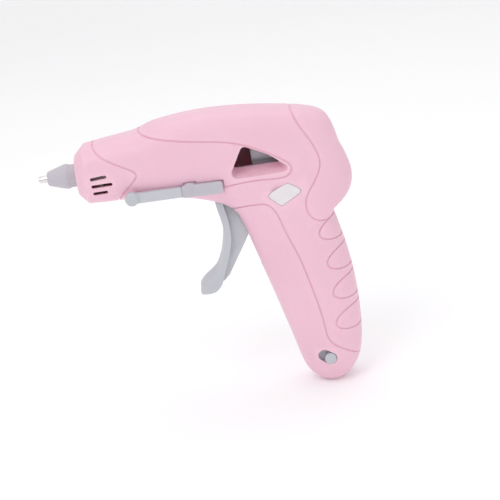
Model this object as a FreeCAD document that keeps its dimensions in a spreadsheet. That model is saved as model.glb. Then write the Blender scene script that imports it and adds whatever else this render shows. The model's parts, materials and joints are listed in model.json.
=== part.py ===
"""Cordless pistol-form mini glue gun for 7 mm sticks, as an assembly of separate parts.

Frame: millimetres, +Z up, nozzle towards -X, the gun's left side towards -Y.
The origin is the centre of the stick inlet's mouth, on the axis that the stick, the
melt chamber and the nozzle share.
"""
import FreeCAD, Part
import math
import os

import Sketcher

V = FreeCAD.Vector
doc = FreeCAD.newDocument("glue_gun")
sheet = doc.addObject("Spreadsheet::Sheet", "dims")

# ---------------------------------------------------------------- driving dimensions
DIMENSIONS = {
    # sticks and the path they take
    "stick_diameter": 7.0,
    "inlet_radius": 3.9,
    "inlet_length": 14.0,
    # casing
    "wall": 2.0,
    "half_thickness": 17.4,
    "parting_gap": 0.10,
    "nose_front": -125.1,
    "nose_chamfer": 4.2,
    "relief_width": 0.8,
    "relief_depth": 0.45,
    "screw_radius": 1.0,
    "screw_head_radius": 1.9,
    "boss_radius": 2.5,
    # nozzle
    "tip_front": -144.1,
    "tip_radius": 1.9,
    "orifice_radius": 0.6,
    "sleeve_front": -139.7,
    "sleeve_front_radius": 3.55,
    "sleeve_shoulder": -130.9,
    "sleeve_shoulder_radius": 6.1,
    "sleeve_rear_radius": 5.6,
    "sleeve_rear": -121.6,
    # heating
    "chamber_front": -121.0,
    "chamber_rear": -84.0,
    "chamber_radius": 6.5,
    "melt_bore_radius": 3.8,
    "spigot_radius": 4.9,
    "spigot_front": -88.0,
    "insulator_radius": 8.15,
    "insulator_width": 2.0,
    "front_insulator": -114.8,
    "rear_insulator": -90.4,
    "feed_sleeve_front": -87.6,
    "feed_sleeve_rear": -66.0,
    "feed_sleeve_radius": 6.0,
    "feed_sleeve_bore": 3.75,
    "clamp_front": -84.0,
    "heater_width": 10.0,
    "heater_length": 13.0,
    "heater_height": 2.0,
    "pad_top": 7.5,
    "pad_half": 6.0,
    "clip_strip": 0.6,
    # trigger and feed
    "trigger_pivot_x": -53.0,
    "trigger_pivot_z": -19.6,
    "trigger_arm": 10.2,
    "trigger_half_width": 7.6,
    "trigger_web_half": 4.4,
    "trigger_pin_radius": 1.2,
    "link_length": 16.0,
    "link_height": 4.4,
    "link_half": 1.6,
    "link_slack": 0.45,
    "cheek_inner": 2.0,
    "cheek_outer": 4.0,
    "carriage_front": -40.0,
    "carriage_rear": -24.0,
    "carriage_radius": 6.0,
    "carriage_bore": 4.2,
    "foot_half": 8.0,
    "spring_wire": 0.7,
    "spring_radius": 2.6,
    "spring_front": -44.1,
    "spring_rear": -33.7,
    "spring_height": -33.0,
    "link_pin_radius": 1.0,
    "pin_clearance": 0.05,
    # stand
    "stand_pivot_x": -99.3,
    "stand_pivot_z": -11.1,
    "stand_leg_height": 5.0,
    "stand_leg_inner": 15.7,
    "stand_leg_thickness": 3.3,
    "stand_foot_start": -75.0,
    "stand_end": -55.4,
    "stand_axle_radius": 1.5,
    # electrics
    "cell_radius": 9.1,
    "cell_length": 49.5,
    "handle_lean": 15.5,
    "board_thickness": 1.2,
    "board_length": 28.0,
    "board_width": 20.0,
    "usb_width": 8.9,
    "usb_height": 3.2,
    "usb_depth": 7.3,
    "led_side": 3.5,
    "lead_radius": 0.7,
    "switch_travel": 3.4,
    "knob_radius": 2.9,
}
for row, (alias, value) in enumerate(DIMENSIONS.items(), start=1):
    sheet.set(f"A{row}", alias)
    sheet.set(f"B{row}", str(value))
    sheet.setAlias(f"B{row}", alias)
doc.recompute()


class Size(float):
    """A length that remembers the spreadsheet expression it comes from."""

    def __new__(cls, value, text):
        size = super().__new__(cls, value)
        size.text = text
        return size

    def __add__(self, other):
        return Size(float(self) + float(other), f"({self.text} + {text_of(other)})")

    def __radd__(self, other):
        return Size(float(other) + float(self), f"({text_of(other)} + {self.text})")

    def __sub__(self, other):
        return Size(float(self) - float(other), f"({self.text} - {text_of(other)})")

    def __rsub__(self, other):
        return Size(float(other) - float(self), f"({text_of(other)} - {self.text})")

    def __mul__(self, other):
        return Size(float(self) * float(other), f"({self.text} * {text_of(other)})")

    __rmul__ = __mul__

    def __neg__(self):
        return Size(-float(self), f"(0 - {self.text})")


def text_of(value):
    """The expression text of a size, or of a plain number."""
    return value.text if isinstance(value, Size) else f"({float(value):.6f})"


def dim(alias):
    """A driving dimension, read from the spreadsheet."""
    return Size(float(sheet.get(alias)), f"dims.{alias}")


def bind(obj, prop, value):
    """Tie a property to the spreadsheet."""
    obj.setExpression(prop, text_of(value))


# ---------------------------------------------------------------- casing: the loft
class Station:
    """One section of the casing: it runs from the outer to the inner edge of the side view."""

    def __init__(self, outer, inner, half_width, squareness):
        self.outer = V(outer[0], 0, outer[1])
        self.inner = V(inner[0], 0, inner[1])
        self.half_width = half_width
        self.squareness = squareness

    def outline(self, inset):
        """The section's outline, moved inwards by inset: a superellipse across the line."""
        centre = (self.outer + self.inner) * 0.5
        reach = (self.outer - self.inner) * 0.5
        long_half = max(reach.Length - inset, 0.35)
        wide_half = max(self.half_width - inset, 0.35)
        direction = V(reach).normalize()
        power = 2.0 / self.squareness
        points = []
        for k in range(SECTION_POINTS):
            turn = 2 * math.pi * k / SECTION_POINTS - math.pi / 2
            along = math.copysign(abs(math.sin(turn)) ** power, math.sin(turn))
            across = math.copysign(abs(math.cos(turn)) ** power, math.cos(turn))
            points.append(centre + direction * (long_half * along) + V(0, wide_half * across, 0))
        curve = Part.BSplineCurve()
        steps = [k / SECTION_POINTS for k in range(SECTION_POINTS + 1)]
        curve.interpolate(Points=points, PeriodicFlag=True, Parameters=steps)
        return curve


SECTION_POINTS = 36
LEAN = math.radians(dim("handle_lean"))
DOWN_HANDLE = V(math.sin(LEAN), 0, -math.cos(LEAN))
ACROSS_HANDLE = V(math.cos(LEAN), 0, math.sin(LEAN))
STATIONS = [
    Station((-132.0, 12.8), (-132.0, -13.6), 13.6, 2.7),
    Station((-122.0, 14.2), (-122.0, -14.0), 14.4, 2.7),
    Station((-110.0, 15.9), (-110.0, -14.3), 15.2, 2.7),
    Station((-100.0, 17.1), (-99.0, -14.7), 15.9, 2.7),
    Station((-93.5, 18.2), (-92.0, -15.2), 16.2, 2.7),
    Station((-87.5, 20.3), (-87.0, -15.7), 16.5, 2.8),
    Station((-80.0, 21.8), (-81.0, -16.5), 16.7, 2.9),
    Station((-67.0, 23.1), (-72.5, -18.0), 17.0, 3.0),
    Station((-51.0, 23.2), (-64.0, -20.4), 17.2, 3.0),
    Station((-36.0, 22.1), (-58.0, -22.9), 17.3, 3.0),
    Station((-21.0, 20.1), (-54.3, -25.2), 17.4, 3.0),
    Station((-9.0, 17.6), (-51.8, -27.7), 17.4, 3.0),
    Station((-1.7, 13.9), (-50.2, -30.3), 17.3, 3.0),
    Station((2.2, 5.5), (-49.0, -33.0), 17.2, 3.0),
    Station((5.6, -5.5), (-47.9, -36.0), 17.1, 2.9),
    Station((8.2, -15.5), (-46.7, -40.0), 17.0, 2.8),
    Station((6.6, -23.8), (-45.6, -44.0), 16.8, 2.7),
    Station((1.8, -29.2), (-44.4, -48.5), 16.6, 2.6),
    Station((-2.4, -33.2), (-43.2, -53.0), 16.4, 2.5),
    Station((-1.9, -38.5), (-41.9, -57.5), 16.2, 2.5),
    Station((0.4, -48.0), (-39.6, -65.8), 16.0, 2.4),
    Station((2.7, -60.0), (-37.0, -75.0), 15.9, 2.4),
    Station((4.3, -75.0), (-33.9, -86.5), 15.7, 2.4),
    Station((4.7, -90.0), (-30.8, -98.2), 15.4, 2.4),
    Station((4.0, -102.0), (-28.3, -108.2), 15.2, 2.4),
    Station((2.0, -111.4), (-26.0, -115.2), 14.2, 2.3),
    Station((-0.9, -117.0), (-23.1, -119.4), 12.3, 2.2),
    Station((-3.6, -120.2), (-20.6, -121.6), 10.2, 2.1),
    Station((-6.6, -122.3), (-18.3, -122.9), 7.6, 2.1),
]


def station_parameters(stations):
    """One parameter for each station, by the mean of the distances along both edges."""
    steps = [0.0]
    for before, after in zip(stations, stations[1:]):
        outer_step = (after.outer - before.outer).Length
        inner_step = (after.inner - before.inner).Length
        steps.append(steps[-1] + 0.5 * (outer_step + inner_step))
    return steps


def casing_body(inset, stations):
    """The casing's solid, moved inwards by inset, before any cut: one skin and two caps."""
    sections = [station.outline(inset) for station in stations]
    columns = []
    for poles in zip(*[section.getPoles() for section in sections]):
        column = Part.BSplineCurve()
        column.interpolate(Points=list(poles), Parameters=station_parameters(stations))
        columns.append(column)
    grid = [list(row) for row in zip(*[column.getPoles() for column in columns])]
    skin = Part.BSplineSurface()
    skin.buildFromPolesMultsKnots(
        grid,
        columns[0].getMultiplicities(),
        sections[0].getMultiplicities(),
        columns[0].getKnots(),
        sections[0].getKnots(),
        False,
        True,
        3,
        sections[0].Degree,
    )
    side = skin.toShape()
    rims = [edge for edge in side.Edges if edge.isClosed()]
    caps = [Part.Face(Part.Wire([rim])) for rim in rims]
    body = Part.Solid(Part.makeShell([side] + caps))
    body.fix(1e-4, 1e-5, 1e-3)
    return body



# ---------------------------------------------------------------- shapes in the side view
def flat(point):
    """A side-view point (x, z) on the middle plane."""
    return V(point[0], 0, point[1])


def rounded_outline(corners):
    """A closed wire in the side view through corners given as (x, z, corner radius)."""
    count = len(corners)
    arcs = []
    for k, (x, z, radius) in enumerate(corners):
        here = V(x, 0, z)
        before = (flat(corners[k - 1]) - here).normalize()
        after = (flat(corners[(k + 1) % count]) - here).normalize()
        half_angle = before.getAngle(after) / 2
        setback = radius / math.tan(half_angle)
        bulge = radius / math.sin(half_angle) - radius
        middle = here + (before + after).normalize() * bulge
        arcs.append((here + before * setback, middle, here + after * setback))
    edges = []
    for k, (enter, middle, leave) in enumerate(arcs):
        edges.append(Part.Arc(enter, middle, leave).toShape())
        following = arcs[(k + 1) % count][0]
        if (following - leave).Length > 1e-6:
            edges.append(Part.LineSegment(leave, following).toShape())
    return Part.Wire(Part.__sortEdges__(edges))


def shifted(shape, x=0.0, y=0.0, z=0.0):
    """A copy of the shape, moved."""
    moved = shape.copy()
    moved.translate(V(x, y, z))
    return moved


def prism(wire, low_y, high_y):
    """The side-view outline, extruded across the gun between two distances."""
    face = Part.Face(shifted(wire, y=low_y))
    return face.extrude(V(0, high_y - low_y, 0))


def box_between(low, high):
    """A box from its lowest to its highest corner."""
    low, high = V(*low), V(*high)
    return Part.makeBox(high.x - low.x, high.y - low.y, high.z - low.z, low)


def rod(x, z, radius, low_y, high_y):
    """A round rod across the gun."""
    return Part.makeCylinder(radius, high_y - low_y, V(x, low_y, z), V(0, 1, 0))


def tube_along(radius, low_x, high_x):
    """A round rod on the barrel's axis."""
    return Part.makeCylinder(radius, high_x - low_x, V(low_x, 0, 0), V(1, 0, 0))


def slot_outline(start, end, radius):
    """A straight slot with round ends, in the side view."""
    along = (flat(end) - flat(start)).normalize()
    across = V(-along.z, 0, along.x) * radius
    first, last = flat(start), flat(end)
    edges = [
        Part.LineSegment(first + across, last + across).toShape(),
        Part.Arc(last + across, last + along * radius, last - across).toShape(),
        Part.LineSegment(last - across, first - across).toShape(),
        Part.Arc(first - across, first - along * radius, first + across).toShape(),
    ]
    return Part.Wire(edges)


def relief_line(points, width):
    """A narrow band along a smooth line in the side view, as a closed wire."""
    line = Part.BSplineCurve()
    line.interpolate(Points=[flat(point) for point in points])
    steps = 5 * len(points)
    left, right = [], []
    for k in range(steps + 1):
        u = line.FirstParameter + (line.LastParameter - line.FirstParameter) * k / steps
        across = line.tangent(u)[0].cross(V(0, 1, 0)).normalize() * (width / 2)
        left.append(line.value(u) + across)
        right.append(line.value(u) - across)
    right.reverse()
    sides = []
    for side in (left, right):
        curve = Part.BSplineCurve()
        curve.interpolate(Points=side)
        sides.append(curve.toShape())
    ends = [
        Part.LineSegment(left[-1], right[0]).toShape(),
        Part.LineSegment(right[-1], left[0]).toShape(),
    ]
    return Part.Wire([sides[0], ends[0], sides[1], ends[1]])


# ---------------------------------------------------------------- places shared by the parts
SIDE = 24.0                       # beyond the casing's widest half
NOSE = Station((-125.1, 13.8), (-125.1, -13.9), 14.15, 2.7)
SCREW_PLACES = [
    (-117.6, 9.7),
    (-70.0, 15.5),
    (-14.0, 10.6),
    (-27.0, -32.5),
    (-34.3, -66.0),
    (-4.8, -111.6),
]
SCREW_SEAT = 8.5                  # the head's seat, across the gun
STAND_CLEARANCE = 0.3
CELL_CENTRE = V(-14.5, 0, -76.5)
KNOB_REST = V(-14.0, 0, -108.5)
SLOT_ANGLE = math.radians(34.0)
SLOT_WAY = V(-math.cos(SLOT_ANGLE), 0, math.sin(SLOT_ANGLE))
SLOT_ACROSS = V(math.sin(SLOT_ANGLE), 0, math.cos(SLOT_ANGLE))
WINDOW = [(-52.5, -9.0, 3.0), (-43.8, 7.2, 2.2), (-31.5, 1.2, 25.0), (-20.4, -8.2, 1.8)]
WINDOW_INNER = [(-50.8, -5.0, 1.6), (-43.2, 5.4, 1.4), (-32.6, 0.2, 12.0), (-24.0, -4.8, 1.0)]
WINDOW_INNER_Y = -9.0
LENS = [(-35.6, -19.2, 1.7), (-24.3, -13.9, 1.9), (-16.9, -18.9, 1.7), (-28.6, -25.5, 1.9)]
VENTS = [
    ((-117.2, 0.2), (-110.8, 0.8)),
    ((-117.1, -3.5), (-108.5, -3.2)),
    ((-116.9, -7.2), (-111.2, -7.0)),
]
VENT_RADIUS = 0.85
USB_X = -12.5
POSTS_RIGHT = [(-18.6, -106.5), (-11.0, -106.0)]
POSTS_LEFT = [(-30.2, -18.6), (-22.6, -20.6)]
RELIEF_LINES = {
    "nose": [
        (-115.6, 19.0), (-114.7, 13.9), (-113.0, 11.6), (-108.0, 7.9), (-102.0, 4.7),
        (-97.2, 1.9), (-95.7, 0.0), (-96.6, -2.1), (-99.7, -5.3), (-104.0, -9.6), (-106.5, -14.0),
        (-107.5, -18.0),
    ],
    "cover": [
        (-93.2, 22.0), (-92.0, 18.4), (-89.8, 17.2), (-86.5, 16.1), (-79.5, 14.4), (-71.4, 12.9),
        (-59.6, 11.2), (-50.3, 9.6), (-44.0, 7.7), (-36.5, 4.4), (-28.6, -0.1), (-24.1, -3.2),
        (-21.9, -5.8), (-21.8, -8.0), (-23.8, -10.2), (-27.5, -11.1), (-34.8, -10.8),
        (-44.5, -10.9), (-50.7, -11.5), (-54.2, -12.0),
    ],
    "back": [
        (-17.6, 24.0), (-18.3, 19.7), (-17.6, 17.0), (-12.1, 6.6), (-8.7, -0.8), (-7.7, -6.6),
        (-9.7, -12.4), (-13.3, -18.0), (-16.1, -22.7), (-16.8, -27.4), (-15.2, -32.4),
        (-11.0, -35.6), (-6.3, -36.2), (-1.0, -34.0), (4.0, -30.5),
    ],
    "handle": [
        (-56.5, -26.5), (-51.1, -24.9), (-46.2, -23.7), (-40.5, -23.2), (-35.8, -23.6),
        (-32.6, -26.6), (-28.9, -36.5), (-23.6, -51.4), (-19.6, -66.4), (-16.3, -81.4),
        (-15.0, -90.5), (-13.2, -98.6), (-9.8, -102.2), (-5.2, -105.2), (0.6, -109.2), (6.0, -113.5),
    ],
}
GRIP_OVALS = [(1.0, -40.2), (3.2, -55.8), (4.2, -71.4), (4.0, -87.6)]
OVAL_LONG = 13.4
OVAL_SHORT = 6.0
OVAL_TILT = 13.0


def at_handle(along, across, y=0.0):
    """A point in the handle, by its distances from the cell's centre."""
    return CELL_CENTRE + DOWN_HANDLE * along + ACROSS_HANDLE * across + V(0, y, 0)


def handle_box(along, across, y):
    """A box aligned with the handle; each argument is a (low, high) pair."""
    box = Part.makeBox(across[1] - across[0], y[1] - y[0], along[1] - along[0])
    box.translate(V(across[0], y[0], -along[1]))
    box.rotate(V(0, 0, 0), V(0, 1, 0), -float(dim("handle_lean")))
    box.translate(CELL_CENTRE)
    return box


def nose_cutter(shift):
    """What lies in front of the nose's flat face and outside its chamfer."""
    chamfer = dim("nose_chamfer")
    small = Part.Wire([NOSE.outline(chamfer).toShape()])
    wide = Part.Wire([shifted(NOSE.outline(-chamfer).toShape(), x=2 * chamfer)])
    cone = Part.makeLoft([small, wide], True, True)
    front = dim("nose_front")
    block = box_between((front - 20, -SIDE, -30), (front + 2 * chamfer, SIDE, 30))
    return shifted(block.cut(cone), x=shift)


def casing_ribs(side):
    """What stands inside one half: ribs, rails, bosses and pads. side is -1 left, 1 right."""
    wall = dim("wall")
    low_y, high_y = (-SIDE, 0.0) if side < 0 else (0.0, SIDE)

    def slab(low, high):
        return box_between((low[0], low_y, low[1]), (high[0], high_y, high[1]))

    rib = 1.6
    solids = [
        slab((-114.6, 2.6), (-114.6 + rib, 20)).cut(tube_along(8.2, -120, -110)),
        slab((-114.6, -20), (-114.6 + rib, -8.6)).cut(tube_along(8.2, -120, -110)),
        slab((-90.2, -20), (-90.2 + rib, 25)).cut(tube_along(8.2, -95, -85)),
        slab((-71.6, -20), (-71.6 + rib, 25)).cut(tube_along(6.05, -75, -65)),
        slab((-12.0, -11), (-12.0 + rib, 14)).cut(tube_along(5.65, -15, -5)),
        slab((-2.6, -7.6), (5.0, 7.6)).common(tube_along(7.6, -2.6, 5.0)).cut(tube_along(5.65, -3, 0)),
    ]
    cradle = Part.makeCylinder(dim("cell_radius") + 0.1, 80, at_handle(-40, 0), DOWN_HANDLE)
    for along in (-15, 14):
        ribs = handle_box((along, along + rib), (-4, 30), (low_y, high_y))
        solids.append(ribs.cut(cradle))
    inner = 4.2
    rail = (inner, SIDE) if side > 0 else (-SIDE, -inner)
    for low_z, high_z in ((-15.2, -14.1), (-11.9, -10.8)):
        solids.append(box_between((-48, rail[0], low_z), (-18, rail[1], high_z)))
    pad = (SIDE, 12.6) if side > 0 else (-12.6, -SIDE)
    solids.append(box_between((-97, min(pad), -16.6), (-52, max(pad), -6.2)))
    for x, z in SCREW_PLACES:
        solids.append(rod(x, z, dim("boss_radius"), low_y, high_y))
        if side > 0:
            solids.append(rod(x, z, dim("boss_radius") + 1.0, 5.0, SIDE))
    pivot = (dim("trigger_web_half") + 0.5, SIDE)
    pivot = pivot if side > 0 else (-SIDE, -pivot[0])
    solids.append(rod(dim("trigger_pivot_x"), dim("trigger_pivot_z"), 2.9, *pivot))
    axle = (9.0, SIDE) if side > 0 else (-SIDE, -9.0)
    solids.append(rod(dim("stand_pivot_x"), dim("stand_pivot_z"), 3.2, *axle))
    solids.append(slab((-33.5, -36.5), (-33.5 + rib, -25.5)))
    board = handle_box((-9, 21), (-12.35, -10.85), (-10.2, 10.2))
    edge = (8.6, SIDE) if side > 0 else (-SIDE, -8.6)
    for along in (-3, 13):
        solids.append(handle_box((along, along + rib), (-25, -9.6), edge).cut(board))
    if side > 0:
        for x, z in POSTS_RIGHT:
            solids.append(rod(x, z, 1.3, 2.7, SIDE))
    if side < 0:
        for x, z in POSTS_LEFT:
            solids.append(rod(x, z, 1.3, -SIDE, -12.5))
        mouth = Part.Wire(rounded_outline(WINDOW).makeOffset2D(wall).Edges)
        throat = Part.Wire(rounded_outline(WINDOW_INNER).makeOffset2D(1.5).Edges)
        solids.append(funnel(mouth, throat, WINDOW_INNER_Y))
    return solids


def funnel(mouth, throat, throat_y):
    """A tapering hole's solid, from outside the left flank in to throat_y."""
    face_y = -float(dim("half_thickness"))
    taper = Part.makeLoft([shifted(mouth, y=face_y), shifted(throat, y=throat_y)], True, True)
    return taper.fuse(prism(mouth, -SIDE, face_y)).removeSplitter()


def stand_recess():
    """The flat recess on both flanks that a folded leg lies in, open downwards."""
    floor = dim("stand_leg_inner") - STAND_CLEARANCE
    reach = dim("stand_end") - dim("stand_pivot_x") + 0.9
    pivot = (dim("stand_pivot_x"), dim("stand_pivot_z"))
    solids = []
    for low_y, high_y in ((-SIDE, -floor), (floor, SIDE)):
        disc = rod(pivot[0], pivot[1], reach, low_y, high_y)
        block = box_between((-95.6, low_y, -40), (-50, high_y, -8.0))
        solids.append(disc.common(block))
        solids.append(box_between((-74.3, low_y, -8.2), (-67.7, high_y, -7.0)))
    return solids


def casing_openings(side):
    """Everything that is cut through one half of the casing."""
    low_y, high_y = (-SIDE, 0.0) if side < 0 else (0.0, SIDE)
    port = box_between((USB_X - 4.9, -1.9, -127), (USB_X + 4.9, 1.9, -114))
    solids = [port, tube_along(dim("sleeve_rear_radius") + 0.3, -140, -120)]
    solids.append(Part.makeCone(4.7, 7.6, 8.5, V(-0.5, 0, 0), V(1, 0, 0)))
    solids += stand_recess()
    for start, end in VENTS:
        solids.append(prism(slot_outline(start, end, VENT_RADIUS), low_y, high_y))
    plate_half = dim("trigger_half_width") + 0.5
    web_half = dim("trigger_web_half") + 0.5
    solids.append(box_between((-61.8, -plate_half, -34), (-49.2, plate_half, -15.8)))
    web = [(-58, -21, 0.5), (-41, -21, 0.5), (-39, -57.5, 0.5), (-60, -57.5, 0.5)]
    solids.append(prism(rounded_outline(web), -web_half, web_half))
    for x, z in SCREW_PLACES:
        solids.append(rod(x, z, dim("screw_radius"), -9.5, SCREW_SEAT + 0.5))
        if side > 0:
            solids.append(rod(x, z, dim("screw_head_radius") + 0.35, SCREW_SEAT, SIDE))
    pin = dim("trigger_pin_radius")
    solids.append(rod(dim("trigger_pivot_x"), dim("trigger_pivot_z"), pin, -12.0, 12.0))
    axle = dim("stand_axle_radius") + dim("pin_clearance")
    solids.append(rod(dim("stand_pivot_x"), dim("stand_pivot_z"), axle, -SIDE, SIDE))
    if side < 0:
        mouth = rounded_outline(WINDOW)
        solids.append(funnel(mouth, rounded_outline(WINDOW_INNER), WINDOW_INNER_Y + 0.2))
        solids.append(prism(rounded_outline(LENS), -SIDE, -10))
        end = KNOB_REST + SLOT_WAY * float(dim("switch_travel"))
        slot = slot_outline((KNOB_REST.x, KNOB_REST.z), (end.x, end.z), dim("knob_radius") + 0.3)
        solids.append(prism(slot, -SIDE, -8))
        solids.append(switch_pocket())
    return solids


def switch_block(along, across, y):
    """A box aligned with the switch's slot, placed from the knob's rest."""
    box = Part.makeBox(along[1] - along[0], y[1] - y[0], across[1] - across[0])
    box.translate(V(-along[1], y[0], across[0]))
    box.rotate(V(0, 0, 0), V(0, 1, 0), math.degrees(SLOT_ANGLE))
    box.translate(KNOB_REST)
    return box


def switch_pocket():
    """The flat inside the left half that the switch's slider runs on."""
    return switch_block((-5.2, 9.9), (-3.7, 3.7), (-11.9, -6.0))


def relief_cutters(inset):
    """The moulded lines on both flanks, as far in as the inset body."""
    bands = [
        prism(relief_line(points, dim("relief_width")), -SIDE, SIDE)
        for points in RELIEF_LINES.values()
    ]
    for x, z in GRIP_OVALS:
        rings = []
        for grow in (float(dim("relief_width")) / 2, -float(dim("relief_width")) / 2):
            oval = Part.Ellipse(V(0, 0, 0), OVAL_LONG + grow, OVAL_SHORT + grow).toShape()
            oval.rotate(V(0, 0, 0), V(1, 0, 0), 90)
            oval.rotate(V(0, 0, 0), V(0, 1, 0), -OVAL_TILT)
            oval.translate(V(x, 0, z))
            rings.append(prism(Part.Wire([oval]), -SIDE, SIDE))
        bands.append(rings[0].cut(rings[1]))
    return [band.cut(inset) for band in bands]


# ---------------------------------------------------------------- making document objects
NODES = {}
TURNS = {"x": (V(0, 1, 0), 90), "y": (V(1, 0, 0), -90), "z": (V(0, 0, 1), 0)}


def keep(obj, label):
    """Name an object as one of the assembly's pieces."""
    obj.Label = label
    NODES[label] = obj
    return obj


def place(obj, x=0.0, y=0.0, z=0.0, axis=V(0, 0, 1), angle=0.0):
    """Put an object at a point, turned about an axis, its position tied to the sheet."""
    turn = FreeCAD.Rotation(axis, float(angle))
    obj.Placement = FreeCAD.Placement(V(float(x), float(y), float(z)), turn)
    for name, value in (("x", x), ("y", y), ("z", z)):
        if isinstance(value, Size):
            bind(obj, f".Placement.Base.{name}", value)
    return obj


def place_in_handle(obj, along, across, y):
    """Put an object at a point of the handle, its own z axis up the handle."""
    point = at_handle(float(along), float(across), float(y))
    return place(obj, point.x, point.y, point.z, V(0, 1, 0), -float(dim("handle_lean")))


def new_rod(name, radius, length, x, y, z, way):
    """A Part cylinder from a point, along one of the axes."""
    obj = doc.addObject("Part::Cylinder", name)
    bind(obj, "Radius", radius)
    bind(obj, "Height", length)
    return place(obj, x, y, z, *TURNS[way])


def new_box(name, length, width, height):
    """A Part box with its corner at the origin."""
    obj = doc.addObject("Part::Box", name)
    bind(obj, "Length", length)
    bind(obj, "Width", width)
    bind(obj, "Height", height)
    return obj


def cut_from(base, *tools):
    """Part cuts, one tool after the other."""
    for tool in tools:
        cut = doc.addObject("Part::Cut", base.Name + "_cut")
        cut.Base = base
        cut.Tool = tool
        base = cut
    return base


def fuse_all(name, pieces):
    """One solid from several."""
    fuse = doc.addObject("Part::MultiFuse", name)
    fuse.Shapes = pieces
    return fuse


def group_all(name, pieces):
    """Several solids that are one node."""
    compound = doc.addObject("Part::Compound", name)
    compound.Links = pieces
    return compound


def new_body(label):
    """A PartDesign body that is one of the pieces."""
    return keep(doc.addObject("PartDesign::Body", label), label)


def new_sketch(body, plane, lift=0.0):
    """A sketch on one of the body's own planes, lifted off it along the plane's normal."""
    sketch = body.newObject("Sketcher::SketchObject", body.Name + "_sketch")
    origin_plane = next(item for item in body.Origin.OriginFeatures if item.Role == plane)
    sketch.AttachmentSupport = [(origin_plane, "")]
    sketch.MapMode = "FlatFace"
    if float(lift) != 0.0:
        sketch.AttachmentOffset = FreeCAD.Placement(V(0, 0, float(lift)), FreeCAD.Rotation())
        bind(sketch, ".AttachmentOffset.Base.z", lift)
    return sketch


def pin_point(sketch, edge, vertex, point):
    """Fix a sketch point; coordinates that are sizes stay tied to the sheet."""
    for kind, value in zip(("DistanceX", "DistanceY"), point):
        number = sketch.addConstraint(Sketcher.Constraint(kind, edge, vertex, float(value)))
        if isinstance(value, Size):
            sketch.setExpression(f"Constraints[{number}]", text_of(value))


def draw_outline(sketch, corners):
    """A closed outline of straight edges."""
    first = sketch.GeometryCount
    count = len(corners)
    for k in range(count):
        start = V(*[float(value) for value in corners[k]])
        end = V(*[float(value) for value in corners[(k + 1) % count]])
        sketch.addGeometry(Part.LineSegment(start, end), False)
    for k in range(count):
        link = Sketcher.Constraint("Coincident", first + k, 2, first + (k + 1) % count, 1)
        sketch.addConstraint(link)
    for k, corner in enumerate(corners):
        pin_point(sketch, first + k, 1, corner)


def draw_circle(sketch, point, radius):
    """A circle whose centre and radius are tied to the sheet."""
    centre = V(float(point[0]), float(point[1]), 0)
    edge = sketch.addGeometry(Part.Circle(centre, V(0, 0, 1), float(radius)), False)
    pin_point(sketch, edge, 3, point)
    number = sketch.addConstraint(Sketcher.Constraint("Radius", edge, float(radius)))
    sketch.setExpression(f"Constraints[{number}]", text_of(radius))


def draw_curve(sketch, points):
    """A smooth open curve through points."""
    curve = Part.BSplineCurve()
    curve.interpolate(Points=[V(x, z, 0) for x, z in points])
    sketch.addGeometry(curve, False)


def draw_line(sketch, start, end):
    """A straight edge between two plain points."""
    sketch.addGeometry(Part.LineSegment(V(*start), V(*end)), False)


def pad(body, sketch, length):
    """Extrude a sketch along its normal."""
    feature = body.newObject("PartDesign::Pad", body.Name + "_pad")
    feature.Profile = sketch
    bind(feature, "Length", length)
    return feature


def side_pad(body, low_y, high_y, draw):
    """A pad drawn in the side view, between two distances across the gun."""
    sketch = new_sketch(body, "XZ_Plane", -high_y)
    draw(sketch)
    return pad(body, sketch, high_y - low_y)


def revolve(body, corners):
    """A solid of revolution about the barrel's axis, from corners given as (x, radius)."""
    sketch = new_sketch(body, "XZ_Plane")
    draw_outline(sketch, corners)
    feature = body.newObject("PartDesign::Revolution", body.Name + "_turn")
    feature.Profile = sketch
    feature.ReferenceAxis = (sketch, ["H_Axis"])
    bind(feature, "Angle", 360.0)
    return feature


def new_feature(label, shape):
    """A piece whose shape is worked out in code."""
    obj = doc.addObject("Part::Feature", label)
    obj.Shape = shape
    obj.Placement = FreeCAD.Placement()
    return keep(obj, label)


# ---------------------------------------------------------------- nozzle
tip_front = dim("tip_front")
tip_radius = dim("tip_radius")
orifice = dim("orifice_radius")
chamber_front = dim("chamber_front")
nozzle_tip = new_body("nozzle_tip")
revolve(nozzle_tip, [
    (tip_front, orifice),
    (tip_front, orifice + 0.45),
    (tip_front + 0.35, orifice + 0.9),
    (tip_front + 1.4, tip_radius - 0.2),
    (tip_front + 4.4, tip_radius),
    (tip_front + 5.2, tip_radius),
    (tip_front + 12.6, tip_radius + 2.6),
    (chamber_front - 1.5, tip_radius + 2.6),
    (chamber_front - 1.5, 3.4),
    (chamber_front + 4.5, 3.4),
    (chamber_front + 4.5, 2.2),
    (chamber_front - 6.0, 2.2),
    (tip_front + 6.0, orifice),
])

sleeve_front = dim("sleeve_front")
sleeve_rear = dim("sleeve_rear")
sleeve_gap = dim("pin_clearance")
nozzle_sleeve = new_body("nozzle_sleeve")
revolve(nozzle_sleeve, [
    (sleeve_front, tip_radius + sleeve_gap),
    (sleeve_front, dim("sleeve_front_radius") - 0.5),
    (sleeve_front + 0.5, dim("sleeve_front_radius")),
    (dim("sleeve_shoulder") - 0.9, dim("sleeve_shoulder_radius") - 0.25),
    (dim("sleeve_shoulder"), dim("sleeve_shoulder_radius")),
    (dim("sleeve_shoulder") + 1.0, dim("sleeve_shoulder_radius")),
    (dim("sleeve_shoulder") + 2.6, dim("sleeve_rear_radius")),
    (sleeve_rear, dim("sleeve_rear_radius")),
    (sleeve_rear, tip_radius + 2.6 + sleeve_gap),
    (tip_front + 12.6, tip_radius + 2.6 + sleeve_gap),
    (tip_front + 5.2, tip_radius + sleeve_gap),
])

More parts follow.
